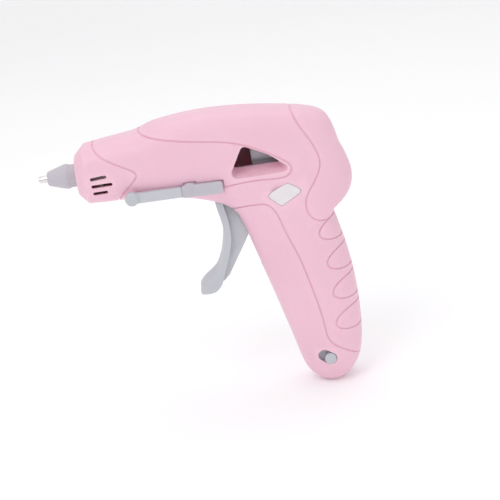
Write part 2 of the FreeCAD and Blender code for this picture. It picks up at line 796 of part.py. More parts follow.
# ---------------------------------------------------------------- melt chamber and heater
chamber_rear = dim("chamber_rear")
chamber_radius = dim("chamber_radius")
bore = dim("melt_bore_radius")
melt_chamber = new_body("melt_chamber")
side_pad(melt_chamber, -dim("pad_half"), dim("pad_half"), lambda sketch: draw_outline(sketch, [
    (chamber_front + 12.0, bore + 0.4),
    (chamber_front + 29.2, bore + 0.4),
    (chamber_front + 29.2, dim("pad_top")),
    (chamber_front + 12.0, dim("pad_top")),
]))
revolve(melt_chamber, [
    (chamber_front, 3.4),
    (chamber_front, chamber_radius),
    (dim("spigot_front"), chamber_radius),
    (dim("spigot_front"), dim("spigot_radius")),
    (chamber_rear, dim("spigot_radius")),
    (chamber_rear, bore),
    (chamber_front + 6.0, bore),
    (chamber_front + 6.0, 3.4),
])

heater = keep(new_box("heater_block", dim("heater_length"), dim("heater_width"), dim("heater_height")), "ptc_heater")
place(heater, chamber_front + 14.2, -dim("heater_width") * 0.5, dim("pad_top"))

strip = dim("clip_strip")
heater_top = dim("pad_top") + dim("heater_height")
clip_half = chamber_radius + 0.05
clip_outer = new_box("clip_outer", 7.0, clip_half * 2 + strip * 2, heater_top + clip_half + strip * 2)
place(clip_outer, chamber_front + 17.2, -clip_half - strip, -clip_half - strip)
clip_inner = new_box("clip_inner", 9.0, clip_half * 2, heater_top + clip_half)
place(clip_inner, chamber_front + 16.2, -clip_half, -clip_half)
keep(cut_from(clip_outer, clip_inner), "heater_clip")

for label, alias in (("insulating_ring_front", "front_insulator"), ("insulating_ring_rear", "rear_insulator")):
    ring = new_rod(label + "_disc", dim("insulator_radius"), dim("insulator_width"), dim(alias), 0.0, 0.0, "x")
    hole = new_rod(label + "_hole", chamber_radius + 0.05, dim("insulator_width") + 2.0, dim(alias) - 1.0, 0.0, 0.0, "x")
    keep(cut_from(ring, hole), label)

feed_sleeve = new_body("inlet_sleeve")
revolve(feed_sleeve, [
    (dim("feed_sleeve_front"), dim("spigot_radius") + 0.05),
    (dim("feed_sleeve_front"), dim("feed_sleeve_radius")),
    (dim("feed_sleeve_rear"), dim("feed_sleeve_radius")),
    (dim("feed_sleeve_rear"), dim("feed_sleeve_bore") + 1.0),
    (dim("feed_sleeve_rear") - 1.5, dim("feed_sleeve_bore")),
    (chamber_rear + 0.3, dim("feed_sleeve_bore")),
    (chamber_rear + 0.3, dim("spigot_radius") + 0.05),
])

clamp = new_rod("clamp_disc", dim("feed_sleeve_radius") + 0.9, 2.4, dim("clamp_front"), 0.0, 0.0, "x")
clamp_hole = new_rod("clamp_hole", dim("feed_sleeve_radius") + 0.02, 4.4, dim("clamp_front") - 1.0, 0.0, 0.0, "x")
keep(cut_from(clamp, clamp_hole), "inlet_clamp")

inlet_radius = dim("inlet_radius")
collar = new_body("stick_inlet_collar")
revolve(collar, [
    (-dim("inlet_length"), inlet_radius),
    (-dim("inlet_length"), 5.2),
    (-dim("inlet_length") + 0.4, 5.6),
    (-0.4, 5.6),
    (0.0, 5.2),
    (0.0, inlet_radius),
])

# ---------------------------------------------------------------- feed carriage
pivot_x = dim("trigger_pivot_x")
pivot_z = dim("trigger_pivot_z")
arm_z = pivot_z + dim("trigger_arm")
pin_b = pivot_x + dim("link_length")
front = dim("carriage_front")
rear = dim("carriage_rear")
carriage_radius = dim("carriage_radius")
link_pin = dim("link_pin_radius")

carriage = doc.addObject("PartDesign::Body", "carriage_barrel")
revolve(carriage, [
    (front, dim("carriage_bore") + 0.8),
    (front, carriage_radius - 0.5),
    (front + 0.5, carriage_radius),
    (rear - 0.5, carriage_radius),
    (rear, carriage_radius - 0.5),
    (rear, dim("carriage_bore") + 0.8),
    (rear - 0.8, dim("carriage_bore")),
    (front + 0.8, dim("carriage_bore")),
])
cheeks = []
for name, low_y in (("left_cheek", -dim("cheek_outer")), ("right_cheek", dim("cheek_inner") + 0.0)):
    cheek = new_box(name, 15.0, dim("cheek_outer") - dim("cheek_inner"), 8.8)
    cheeks.append(place(cheek, front + 0.4, low_y, -13.4))
foot = new_box("carriage_foot", 14.0, dim("foot_half") * 2, 1.4)
place(foot, front + 0.9, -dim("foot_half"), -13.7)
leaf_slot = new_box("leaf_slot", 1.1, 4.6, 5.0)
place(leaf_slot, front + 3.6, -2.3, 2.9)
pin_hole = new_rod("link_pin_hole", link_pin, 10.0, pin_b, -5.0, arm_z, "y")
bore_again = new_rod("bore_again", dim("carriage_bore"), 20.0, front - 2.0, 0.0, 0.0, "x")
carriage_solid = fuse_all("carriage_solid", [carriage, *cheeks, foot])
keep(cut_from(carriage_solid, bore_again, leaf_slot, pin_hole), "feed_carriage")

leaf = new_body("gripper_leaf")
side_pad(leaf, -2.0, 2.0, lambda sketch: draw_outline(sketch, [
    (front + 3.9, 3.7),
    (front + 4.2, 3.3),
    (front + 4.4, 3.7),
    (front + 4.4, carriage_radius + 0.05),
    (front + 12.0, carriage_radius + 0.05),
    (front + 12.0, carriage_radius + 0.5),
    (front + 3.9, carriage_radius + 0.5),
]))

keep(new_rod("link_pin_rod", link_pin, dim("cheek_outer") * 2, pin_b, -dim("cheek_outer"), arm_z, "y"), "link_pin")
keep(new_rod("drive_pin_rod", link_pin, dim("cheek_outer") * 2, pivot_x, -dim("cheek_outer"), arm_z, "y"), "drive_pin")

link_thick = dim("link_half") * 2
half_height = dim("link_height") * 0.5
link_bar = new_box("link_bar", dim("link_length"), link_thick, dim("link_height"))
place(link_bar, pivot_x, -dim("link_half"), arm_z - half_height)
link_ends = [
    new_rod("link_end_front", half_height, link_thick, pivot_x, -dim("link_half"), arm_z, "y"),
    new_rod("link_end_rear", half_height, link_thick, pin_b, -dim("link_half"), arm_z, "y"),
]
link_holes = [
    new_rod("link_hole_front", link_pin + dim("link_slack"), link_thick + 2.0, pivot_x, -dim("link_half") - 1.0, arm_z, "y"),
    new_rod("link_hole_rear", link_pin + dim("pin_clearance"), link_thick + 2.0, pin_b, -dim("link_half") - 1.0, arm_z, "y"),
]
keep(cut_from(fuse_all("link_solid", [link_bar, *link_ends]), *link_holes), "link_arm")

# ---------------------------------------------------------------- trigger
PLATE_FRONT = [
    (-60.2, -18.4), (-60.2, -23.0), (-58.9, -30.0), (-58.3, -36.0), (-58.9, -42.0),
    (-61.1, -51.0), (-65.2, -58.3), (-71.0, -62.8), (-73.7, -66.3),
]
PLATE_BACK = [
    (-73.3, -67.8), (-69.8, -68.2), (-66.0, -67.4), (-63.2, -64.8), (-60.3, -58.0),
    (-57.3, -50.0), (-55.3, -42.6), (-54.9, -36.0), (-55.6, -29.0), (-56.6, -23.4), (-57.0, -18.4),
]


def draw_plate(sketch):
    """The finger plate's outline: front and back curves, joined at the top and the lip."""
    draw_curve(sketch, PLATE_FRONT)
    draw_line(sketch, PLATE_FRONT[-1], PLATE_BACK[0])
    draw_curve(sketch, PLATE_BACK)
    draw_line(sketch, PLATE_BACK[-1], PLATE_FRONT[0])


def draw_hub(sketch):
    """The hub, with the bore that turns on the pin."""
    draw_circle(sketch, (pivot_x, pivot_z), dim("trigger_pin_radius") + 2.2)
    draw_circle(sketch, (pivot_x, pivot_z), dim("trigger_pin_radius") + dim("pin_clearance"))


trigger_body = doc.addObject("PartDesign::Body", "trigger_plate")
half_width = dim("trigger_half_width")
side_pad(trigger_body, -half_width, half_width, draw_plate)
web_body = doc.addObject("PartDesign::Body", "trigger_web")
web_half = dim("trigger_web_half")
side_pad(web_body, -web_half, web_half, lambda sketch: draw_outline(sketch, [
    (-58.0, -19.0), (-50.4, -20.5), (-44.6, -29.5), (-44.6, -35.0), (-45.6, -39.5), (-48.8, -45.0),
    (-58.4, -60.5), (-61.6, -63.4), (-62.6, -62.0), (-58.9, -52.0), (-57.0, -43.0), (-56.6, -36.0),
    (-57.4, -28.0),
]))
hub_body = doc.addObject("PartDesign::Body", "trigger_hub")
side_pad(hub_body, -half_width, half_width, draw_hub)
fork = []
for name, low_y in (("left_fork", -dim("cheek_outer")), ("right_fork", dim("cheek_inner") + 0.0)):
    fork_body = doc.addObject("PartDesign::Body", name)
    side_pad(fork_body, low_y, low_y + (dim("cheek_outer") - dim("cheek_inner")), lambda sketch: draw_outline(sketch, [
        (pivot_x - 2.6, pivot_z - 1.0),
        (pivot_x + 2.6, pivot_z - 1.0),
        (pivot_x + 2.1, arm_z + 1.4),
        (pivot_x + 1.2, arm_z + 2.2),
        (pivot_x - 1.2, arm_z + 2.2),
        (pivot_x - 2.1, arm_z + 1.4),
    ]))
    fork.append(fork_body)
trigger_solid = fuse_all("trigger_solid", [trigger_body, web_body, hub_body, *fork])
trigger_cuts = [
    new_rod("trigger_bore", dim("trigger_pin_radius") + dim("pin_clearance"), 20.0, pivot_x, -10.0, pivot_z, "y"),
    new_rod("drive_pin_bore", link_pin, 20.0, pivot_x, -10.0, arm_z, "y"),
]
keep(cut_from(trigger_solid, *trigger_cuts), "trigger")
keep(new_rod("trigger_pin_rod", dim("trigger_pin_radius"), 23.0, pivot_x, -11.5, pivot_z, "y"), "trigger_pin")

spring_front = dim("spring_front")
spring_length = dim("spring_rear") - spring_front
helix = doc.addObject("Part::Helix", "spring_path")
bind(helix, "Radius", dim("spring_radius"))
bind(helix, "Height", spring_length - dim("spring_wire"))
bind(helix, "Pitch", (spring_length - dim("spring_wire")) * 0.2)
wire_section = doc.addObject("Part::Circle", "spring_section")
bind(wire_section, "Radius", dim("spring_wire") * 0.5)
place(wire_section, dim("spring_radius"), 0.0, 0.0, V(1, 0, 0), 90)
spring = doc.addObject("Part::Sweep", "spring_coil")
spring.Sections = [wire_section]
spring.Spine = (helix, ["Edge1"])
spring.Solid = True
spring.Frenet = True
keep(place(spring, spring_front + dim("spring_wire") * 0.5, 0.0, dim("spring_height"), V(0, 1, 0), 90), "trigger_return_spring")

# ---------------------------------------------------------------- stand
stand_x = dim("stand_pivot_x")
stand_z = dim("stand_pivot_z")
leg_half = dim("stand_leg_height") * 0.5
leg_inner = dim("stand_leg_inner")
leg_outer = leg_inner + dim("stand_leg_thickness")
foot_start = dim("stand_foot_start")
foot_end = dim("stand_end")


def new_leg(label, low_y):
    """One leg: an eye on the axle and a flat bar back to the foot."""
    thickness = dim("stand_leg_thickness")
    eye = new_rod(label + "_eye", 3.3, thickness, stand_x, low_y, stand_z, "y")
    bar = new_box(label + "_bar", foot_start + 5.0 - stand_x, thickness, leg_half * 2)
    place(bar, stand_x, low_y, stand_z - leg_half)
    tongue = new_box(label + "_tongue", 8.0, thickness - 1.2, leg_half * 2 - 1.6)
    place(tongue, foot_start, low_y + 0.6, stand_z - leg_half + 0.8)
    trim = new_box(label + "_trim", 8.0, thickness + 2.0, leg_half * 2 + 2.0)
    place(trim, foot_start, low_y - 1.0, stand_z - leg_half - 1.0)
    hole = new_rod(label + "_hole", dim("stand_axle_radius"), thickness + 2.0, stand_x, low_y - 1.0, stand_z, "y")
    body = cut_from(fuse_all(label + "_solid", [eye, bar]), trim, hole)
    return keep(fuse_all(label + "_whole", [body, tongue]), label)


def new_foot(label, low_y, high_y):
    """The heat-proof sleeve on a leg's end, with a thumb bump on its upper edge."""
    body = doc.addObject("PartDesign::Body", label + "_outside")
    side_pad(body, low_y, high_y, lambda sketch: draw_outline(sketch, [
        (foot_start, stand_z - leg_half - 0.2),
        (foot_end - 0.8, stand_z - leg_half - 0.5),
        (foot_end, stand_z - leg_half + 0.2),
        (foot_end, stand_z + leg_half - 0.2),
        (foot_end - 0.8, stand_z + leg_half + 0.3),
        (foot_start + 6.8, stand_z + leg_half + 0.4),
        (foot_start + 5.2, stand_z + leg_half + 1.3),
        (foot_start + 2.6, stand_z + leg_half + 1.3),
        (foot_start + 1.2, stand_z + leg_half + 0.4),
        (foot_start, stand_z + leg_half + 0.2),
    ]))
    socket = new_box(label + "_socket", 9.0, dim("stand_leg_thickness") - 1.2, leg_half * 2 - 1.6)
    inner_low = leg_inner if float(low_y) > 0 else -leg_outer
    place(socket, foot_start - 1.0, inner_low + 0.6, stand_z - leg_half + 0.8)
    return keep(cut_from(body, socket), label)


new_leg("stand_leg_left", -leg_outer)
new_leg("stand_leg_right", leg_inner)
new_foot("stand_foot_left", -leg_outer - 0.4, -leg_inner)
new_foot("stand_foot_right", leg_inner, leg_outer + 0.4)
axle_rod = new_rod("axle_rod", dim("stand_axle_radius"), leg_outer * 2, stand_x, -leg_outer, stand_z, "y")
axle_heads = [
    new_rod("axle_head_left", dim("stand_axle_radius") + 0.9, 0.5, stand_x, -leg_outer - 0.5, stand_z, "y"),
    new_rod("axle_head_right", dim("stand_axle_radius") + 0.9, 0.5, stand_x, leg_outer, stand_z, "y"),
]
keep(fuse_all("axle_solid", [axle_rod, *axle_heads]), "stand_axle")

# ---------------------------------------------------------------- power and electronics
cell_length = dim("cell_length")
cell_tube = doc.addObject("Part::Cylinder", "cell_tube")
bind(cell_tube, "Radius", dim("cell_radius"))
bind(cell_tube, "Height", cell_length)
place_in_handle(cell_tube, cell_length * 0.5, 0.0, 0.0)
cell_button = doc.addObject("Part::Cylinder", "cell_button")
bind(cell_button, "Radius", dim("cell_radius") * 0.4)
bind(cell_button, "Height", 0.8)
place_in_handle(cell_button, -cell_length * 0.5, 0.0, 0.0)
keep(fuse_all("cell_solid", [cell_tube, cell_button]), "battery_cell")
tabs = []
for name, along in (("tab_top", -cell_length * 0.5 - 0.8), ("tab_bottom", cell_length * 0.5 + 0.3)):
    tab = new_box(name, 9.0, 5.0, 0.3)
    tabs.append(place_in_handle(tab, along, -6.0, -2.5))
keep(group_all("tabs", tabs), "battery_tabs")

board_across = -12.2
board = new_box("board", dim("board_thickness"), dim("board_width"), dim("board_length"))
place_in_handle(board, dim("board_length") - 8.0, board_across, -dim("board_width") * 0.5)
keep(board, "control_board")
components = []
for name, along, y, depth, width, height in (
    ("inductor", 4.0, -7.0, 3.6, 6.0, 6.0),
    ("controller", 2.0, 1.5, 1.2, 5.0, 5.0),
    ("heater_switch", 12.0, -6.0, 2.2, 6.5, 6.0),
    ("regulator", 11.0, 3.0, 1.6, 3.6, 4.4),
    ("connector", 18.6, -3.5, 3.8, 7.0, 4.6),
):
    component = new_box(name, depth, width, height)
    components.append(place_in_handle(component, along, board_across - depth, y))
keep(group_all("components", components), "board_components")

charge_board = new_box("charger", 12.0, 1.0, 13.2)
keep(place(charge_board, -20.0, 1.65, -117.2), "charge_board")
usb = new_box("usb_shell", dim("usb_width"), dim("usb_height"), dim("usb_depth"))
place(usb, USB_X - dim("usb_width") * 0.5, -dim("usb_height") * 0.5, -121.8)
usb_hollow = new_box("usb_hollow", dim("usb_width") - 0.7, dim("usb_height") - 0.7, dim("usb_depth") - 0.8)
place(usb_hollow, USB_X - (dim("usb_width") - 0.7) * 0.5, -(dim("usb_height") - 0.7) * 0.5, -121.9)
usb_tongue = new_box("usb_tongue", 6.6, 0.7, dim("usb_depth") - 1.2)
place(usb_tongue, USB_X - 3.3, -0.35, -120.6)
keep(fuse_all("usb_solid", [cut_from(usb, usb_hollow), usb_tongue]), "usb_socket")


def new_switch_box(name, along, across, y):
    """A box along the switch's slot, from (low, high) pairs measured from the knob's rest."""
    obj = new_box(name, along[1] - along[0], y[1] - y[0], across[1] - across[0])
    corner = KNOB_REST + SLOT_WAY * along[1] + SLOT_ACROSS * across[0] + V(0, y[0], 0)
    return place(obj, corner.x, corner.y, corner.z, V(0, 1, 0), math.degrees(SLOT_ANGLE))


keep(new_switch_box("switch_box", (-3.6, 7.4), (-2.9, 2.9), (-10.6, -6.8)), "slide_switch")
knob_radius = dim("knob_radius")
knob_stem = new_rod("knob_stem", knob_radius, 4.0, KNOB_REST.x, -15.2, KNOB_REST.z, "y")
knob_plate = new_switch_box("knob_plate", (-4.9, 6.2), (-3.4, 3.4), (-11.6, -10.9))
keep(fuse_all("knob_solid", [knob_stem, knob_plate]), "switch_knob")

led_plate = new_box("led_plate", 11.0, 1.0, 6.0)
keep(place(led_plate, -31.8, -12.45, -22.6), "led_board")
led_side = dim("led_side")
keep(place(new_box("led_block", led_side, 1.4, led_side), -28.0, -13.9, -21.6), "led")

# ---------------------------------------------------------------- wires
LEADS = {
    "heater_lead_red": [
        (-92.0, 2.4, 8.6), (-84.0, 5.0, 10.4), (-73.0, 9.6, 9.6), (-58.0, 12.0, 6.0), (-41.0, 12.2, 1.0),
        (-27.0, 12.0, -5.5), (-19.5, 11.6, -17.0), (-18.4, 11.6, -31.0), (-20.6, 11.8, -46.0),
        (-24.8, 10.8, -58.0), (-27.9, 7.0, -70.6),
    ],
    "heater_lead_black": [
        (-92.0, -2.4, 8.6), (-84.0, 1.6, 11.2), (-73.0, 7.6, 12.0), (-58.0, 11.6, 8.6), (-41.0, 12.2, 3.8),
        (-25.4, 12.0, -3.0), (-17.0, 11.4, -16.0), (-15.8, 11.4, -31.0), (-18.0, 11.8, -47.0),
        (-23.0, 11.0, -59.6), (-27.3, 3.6, -70.6),
    ],
}
CELL_LEADS = [
    [
        at_handle(-26.5, -6.4, 1.2),
        at_handle(-26.5, -10.9, 1.2),
        at_handle(-15.0, -11.4, 0.6),
        at_handle(-8.3, -11.6, 0.0),
    ],
    [
        at_handle(26.1, -6.4, 0.0),
        at_handle(26.1, -10.9, 0.0),
        at_handle(22.6, -11.3, 0.0),
        at_handle(20.2, -11.6, 0.0),
    ],
]


def lead_tube(points, radius):
    """A wire's solid: straight runs joined by tangent arcs."""
    points = [V(*point) if isinstance(point, tuple) else point for point in points]
    edges = []
    start = points[0]
    for before, here, after in zip(points, points[1:], points[2:]):
        back = (before - here).normalize()
        ahead = (after - here).normalize()
        shorter = min((before - here).Length, (after - here).Length)
        setback = 0.45 * shorter
        half_angle = back.getAngle(ahead) / 2
        bend = setback * math.tan(half_angle)
        middle = here + (back + ahead).normalize() * (bend / math.sin(half_angle) - bend)
        edges.append(Part.LineSegment(start, here + back * setback).toShape())
        edges.append(Part.Arc(here + back * setback, middle, here + ahead * setback).toShape())
        start = here + ahead * setback
    edges.append(Part.LineSegment(start, points[-1]).toShape())
    path = Part.Wire(edges)
    way = (points[1] - points[0]).normalize()
    section = Part.Wire([Part.Circle(points[0], way, float(radius)).toShape()])
    return path.makePipeShell([section], True, False)


lead_radius = dim("lead_radius")
for label, points in LEADS.items():
    new_feature(label, lead_tube(points, lead_radius))
new_feature("battery_leads", Part.makeCompound([lead_tube(points, lead_radius) for points in CELL_LEADS]))

# ---------------------------------------------------------------- casing
LEAD_ROOM = 0.6
# the left half's skins have a small panel of their own round the lens: low x, low z, high x, high z
LENS_PANEL = (-37.9, -27.3, -14.7, -12.3)


def casing_half(side, outer, cavity, inset):
    """One half of the casing, with everything moulded into it."""
    gap = dim("parting_gap") / 2
    low_y, high_y = (-SIDE, -gap) if side < 0 else (gap, SIDE)
    room = box_between((-160, low_y, -140), (30, high_y, 40))
    floor = dim("stand_leg_inner") - STAND_CLEARANCE
    boss_y = (8.0, floor) if side > 0 else (-floor, -8.0)
    boss = rod(dim("stand_pivot_x"), dim("stand_pivot_z"), 3.4, *boss_y)
    half = outer.common(room).fuse(boss)
    half = half.cut(cavity.cut(casing_ribs(side)).cut(boss))
    cutters = casing_openings(side)
    if side > 0:
        cutters += [lead_tube(points, lead_radius + LEAD_ROOM) for points in LEADS.values()]
    else:
        cutters.append(lead_tube(LEADS["heater_lead_black"], lead_radius + LEAD_ROOM))
    half = half.cut(cutters).cut(relief_cutters(inset))
    if side < 0:
        panel = box_between((LENS_PANEL[0], low_y, LENS_PANEL[1]), (LENS_PANEL[2], high_y, LENS_PANEL[3]))
        half = half.cut(panel).fuse(half.common(panel))
    if not half.isValid() or len(half.Solids) != 1:
        raise RuntimeError("a cut in the casing went wrong")
    return half


outer = casing_body(0.0, STATIONS).cut(nose_cutter(0))
cavity = casing_body(float(dim("wall")), STATIONS[:-2]).cut(nose_cutter(2.7))
inset = casing_body(float(dim("relief_depth")), STATIONS)
left_half = casing_half(-1, outer, cavity, inset)
new_feature("left_shell", left_half)
new_feature("right_shell", casing_half(1, outer, cavity, inset))
lens_outline = Part.Wire(rounded_outline(LENS).makeOffset2D(-0.15).Edges)
lens = outer.cut(cavity).common(prism(lens_outline, -SIDE, -8.0))
new_feature("indicator_lens", lens)


def new_screw(index, x, z):
    """A self-tapping screw that enters from the right; its head has a cross slot."""
    shank = new_rod(f"shank_{index}", dim("screw_radius") - 0.02, SCREW_SEAT + 9.2, x, -9.2, z, "y")
    head = new_rod(f"head_{index}", dim("screw_head_radius"), 1.5, x, SCREW_SEAT, z, "y")
    slots = []
    for name, length, height in (("slot_a", 2.4, 0.5), ("slot_b", 0.5, 2.4)):
        slot = new_box(f"{name}_{index}", length, 1.0, height)
        slots.append(place(slot, x - length / 2, SCREW_SEAT + 0.8, z - height / 2))
    return cut_from(fuse_all(f"screw_{index}", [shank, head]), *slots)


screws = [new_screw(index, x, z) for index, (x, z) in enumerate(SCREW_PLACES, start=1)]
keep(group_all("screws", screws), "case_screws")

# ---------------------------------------------------------------- check and write
doc.recompute()
for obj in doc.Objects:
    if "Invalid" in obj.State or "Error" in obj.State:
        raise RuntimeError(f"{obj.Label} failed: {obj.State}")
os.makedirs("parts", exist_ok=True)
for label, obj in NODES.items():
    shape = obj.Shape
    if shape.isNull() or not shape.isValid() or not shape.Solids:
        raise RuntimeError(f"{label} has no valid solid")
for label, obj in NODES.items():
    obj.Shape.exportStep(f"parts/{label}.step")
    size = obj.Shape.BoundBox
    print(f"{label:24s} {len(obj.Shape.Solids)} solid(s) {obj.Shape.Volume:10.1f} mm3")
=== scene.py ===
import json
import math

import bmesh
import bpy
from mathutils import Matrix, Vector


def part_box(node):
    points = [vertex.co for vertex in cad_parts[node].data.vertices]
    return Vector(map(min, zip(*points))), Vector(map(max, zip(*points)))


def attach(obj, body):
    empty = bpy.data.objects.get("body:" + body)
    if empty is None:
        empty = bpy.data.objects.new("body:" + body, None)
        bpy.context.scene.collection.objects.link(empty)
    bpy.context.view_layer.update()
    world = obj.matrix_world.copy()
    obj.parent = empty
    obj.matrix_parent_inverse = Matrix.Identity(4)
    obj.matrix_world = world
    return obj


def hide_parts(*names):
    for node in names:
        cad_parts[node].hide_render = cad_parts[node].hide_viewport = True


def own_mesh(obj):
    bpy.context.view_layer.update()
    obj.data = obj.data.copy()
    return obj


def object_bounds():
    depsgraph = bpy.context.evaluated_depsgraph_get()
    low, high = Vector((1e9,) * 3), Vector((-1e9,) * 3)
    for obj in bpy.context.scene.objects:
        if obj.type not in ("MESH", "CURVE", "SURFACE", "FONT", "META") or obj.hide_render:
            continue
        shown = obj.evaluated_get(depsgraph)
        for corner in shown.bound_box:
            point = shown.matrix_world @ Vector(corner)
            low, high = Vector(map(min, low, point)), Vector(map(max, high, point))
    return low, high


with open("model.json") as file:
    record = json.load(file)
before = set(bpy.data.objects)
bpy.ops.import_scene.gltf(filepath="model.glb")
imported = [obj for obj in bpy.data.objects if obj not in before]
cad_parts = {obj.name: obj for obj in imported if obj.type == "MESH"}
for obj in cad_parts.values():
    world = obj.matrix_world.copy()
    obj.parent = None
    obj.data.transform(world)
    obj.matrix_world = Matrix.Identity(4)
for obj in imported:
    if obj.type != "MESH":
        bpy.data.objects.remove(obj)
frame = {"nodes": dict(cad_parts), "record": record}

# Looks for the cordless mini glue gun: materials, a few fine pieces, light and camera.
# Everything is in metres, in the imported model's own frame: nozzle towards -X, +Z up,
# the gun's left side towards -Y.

CAD_LOW, CAD_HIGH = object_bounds()
NODES = frame["nodes"]


# ---------------------------------------------------------------- materials
class Nodes:
    """A short way to build a material's node tree."""

    def __init__(self, name):
        self.material = bpy.data.materials.new(name)
        self.material.use_nodes = True
        self.tree = self.material.node_tree
        self.shader = self.tree.nodes["Principled BSDF"]
        self.place = self.add("ShaderNodeTexCoord").outputs["Object"]

    def add(self, kind, **values):
        node = self.tree.nodes.new(kind)
        for key, value in values.items():
            setattr(node, key, value)
        return node

    def link(self, source, target):
        self.tree.links.new(source, target)

    def stretched(self, scale):
        """The object's coordinates, scaled along each axis."""
        mapping = self.add("ShaderNodeMapping")
        mapping.inputs["Scale"].default_value = scale
        self.link(self.place, mapping.inputs["Vector"])
        return mapping.outputs["Vector"]

    def noise(self, scale, detail=3.0, roughness=0.5, vector=None):
        node = self.add("ShaderNodeTexNoise")
        node.inputs["Scale"].default_value = scale
        node.inputs["Detail"].default_value = detail
        node.inputs["Roughness"].default_value = roughness
        self.link(self.place if vector is None else vector, node.inputs["Vector"])
        return node.outputs["Fac"]

    def ramp(self, value, stops):
        node = self.add("ShaderNodeValToRGB")
        ramp = node.color_ramp
        while len(ramp.elements) < len(stops):
            ramp.elements.new(0.5)
        for element, (position, colour) in zip(ramp.elements, stops):
            element.position = position
            element.color = (*colour, 1.0)
        self.link(value, node.inputs["Fac"])
        return node.outputs["Color"]

    def spread(self, value, low, high):
        """Turn 0..1 into low..high."""
        node = self.add("ShaderNodeMapRange")
        node.inputs["To Min"].default_value = low
        node.inputs["To Max"].default_value = high
        self.link(value, node.inputs["Value"])
        return node.outputs["Result"]

    def blend(self, factor, first, second):
        """Mix two colours; each is a socket or a plain colour."""
        node = self.add("ShaderNodeMix", data_type="RGBA")
        sockets = (node.inputs["Factor"], node.inputs[6], node.inputs[7])
        for source, socket in zip((factor, first, second), sockets):
            if isinstance(source, bpy.types.NodeSocket):
                self.link(source, socket)
            elif isinstance(source, (int, float)):
                socket.default_value = source
            else:
                socket.default_value = (*source, 1.0)
        return node.outputs[2]

    def bump(self, height, distance, strength=1.0, under=None):
        node = self.add("ShaderNodeBump")
        node.inputs["Distance"].default_value = distance
        node.inputs["Strength"].default_value = strength
        self.link(height, node.inputs["Height"])
        if under is not None:
            self.link(under, node.inputs["Normal"])
        return node.outputs["Normal"]

    def colour(self, source):
        self.link(source, self.shader.inputs["Base Color"])

    def rough(self, source):
        self.link(source, self.shader.inputs["Roughness"])

    def normal(self, source):
        self.link(source, self.shader.inputs["Normal"])

    def set(self, **values):
        """Set the shader's own sockets; underscores stand for spaces."""
        for key, value in values.items():
            self.shader.inputs[key.replace("_", " ")].default_value = value


def moulded(name, base, shade, roughness, grain, subsurface=0.0, edge_highlight=None):
    """Moulded plastic: a fine spark-eroded grain, soft mottling and a painted highlight that lightens
    sharp corners.
    """
    nodes = Nodes(name)
    mottle = nodes.noise(38.0, 4.0, 0.55)
    colour = nodes.ramp(mottle, [(0.30, shade), (0.70, base)])
    speck = nodes.noise(1500.0, 2.0, 0.6)
    colour = nodes.blend(nodes.spread(speck, 0.0, 0.10), colour, tuple(0.86 * c for c in base))
    # painted highlight: sharp convex edges (high pointiness) are blended towards a paler colour, as if
    # they caught the light
    if edge_highlight is not None:
        pointy = nodes.add("ShaderNodeNewGeometry").outputs["Pointiness"]
        painted_highlight = nodes.ramp(pointy, [(0.515, (0.0, 0.0, 0.0)), (0.58, (1.0, 1.0, 1.0))])
        painted_highlight = nodes.spread(painted_highlight, 0.0, 0.35)
        colour = nodes.blend(painted_highlight, colour, edge_highlight)
    nodes.colour(colour)
    nodes.rough(nodes.spread(nodes.noise(160.0, 3.0), roughness - 0.06, roughness + 0.07))
    coarse = nodes.bump(nodes.noise(60.0, 2.0), 0.00025, 0.10)
    nodes.normal(nodes.bump(nodes.noise(2600.0, 2.0, 0.65), grain, 0.55, coarse))
    if subsurface:
        nodes.set(
            Subsurface_Weight=subsurface,
            Subsurface_Radius=(0.0035, 0.0016, 0.0018),
            Subsurface_Scale=1.0,
        )
    nodes.set(IOR=1.49)
    return nodes.material


def metal(name, base, shade, roughness, streak=(40.0, 900.0, 900.0)):
    """Bare metal with drawn or turned streaks and faint stains."""
    nodes = Nodes(name)
    lines = nodes.noise(1.0, 4.0, 0.6, nodes.stretched(streak))
    stain = nodes.noise(240.0, 3.0)
    colour = nodes.ramp(lines, [(0.25, shade), (0.75, base)])
    nodes.colour(nodes.blend(nodes.spread(stain, 0.0, 0.18), colour, tuple(0.6 * c for c in base)))
    nodes.rough(nodes.spread(stain, roughness - 0.05, roughness + 0.10))
    nodes.normal(nodes.bump(lines, 0.00002, 0.5))
    nodes.set(Metallic=1.0)
    return nodes.material


def silicone(name, base, shade):
    """Heat-proof silicone: matt, a little translucent, with dust in its grain."""
    nodes = Nodes(name)
    cloud = nodes.noise(70.0, 5.0, 0.6)
    colour = nodes.ramp(cloud, [(0.3, shade), (0.75, base)])
    dust = nodes.noise(900.0, 3.0, 0.7)
    nodes.colour(nodes.blend(nodes.spread(dust, 0.0, 0.12), colour, (0.80, 0.80, 0.82)))
    nodes.rough(nodes.spread(dust, 0.48, 0.66))
    nodes.normal(nodes.bump(nodes.noise(1900.0, 2.0), 0.00003, 0.5))
    nodes.set(Subsurface_Weight=0.15, Subsurface_Radius=(0.002, 0.002, 0.002), Subsurface_Scale=1.0)
    nodes.set(Sheen_Weight=0.08, Sheen_Roughness=0.5, IOR=1.41)
    return nodes.material


def frosted(name, base, shade):
    """A frosted lamp lens with faint prisms behind its face."""
    nodes = Nodes(name)
    cloud = nodes.noise(120.0, 3.0)
    nodes.colour(nodes.ramp(cloud, [(0.3, shade), (0.7, base)]))
    nodes.rough(nodes.spread(cloud, 0.30, 0.42))
    wave = nodes.add("ShaderNodeTexWave", bands_direction="DIAGONAL")
    wave.inputs["Scale"].default_value = 320.0
    nodes.link(nodes.place, wave.inputs["Vector"])
    grain = nodes.bump(nodes.noise(2400.0, 2.0), 0.00002, 0.5)
    nodes.normal(nodes.bump(wave.outputs["Fac"], 0.00004, 0.25, grain))
    nodes.set(Subsurface_Weight=0.4, Subsurface_Radius=(0.002, 0.002, 0.002))
    nodes.set(Subsurface_Scale=1.0, IOR=1.5)
    return nodes.material


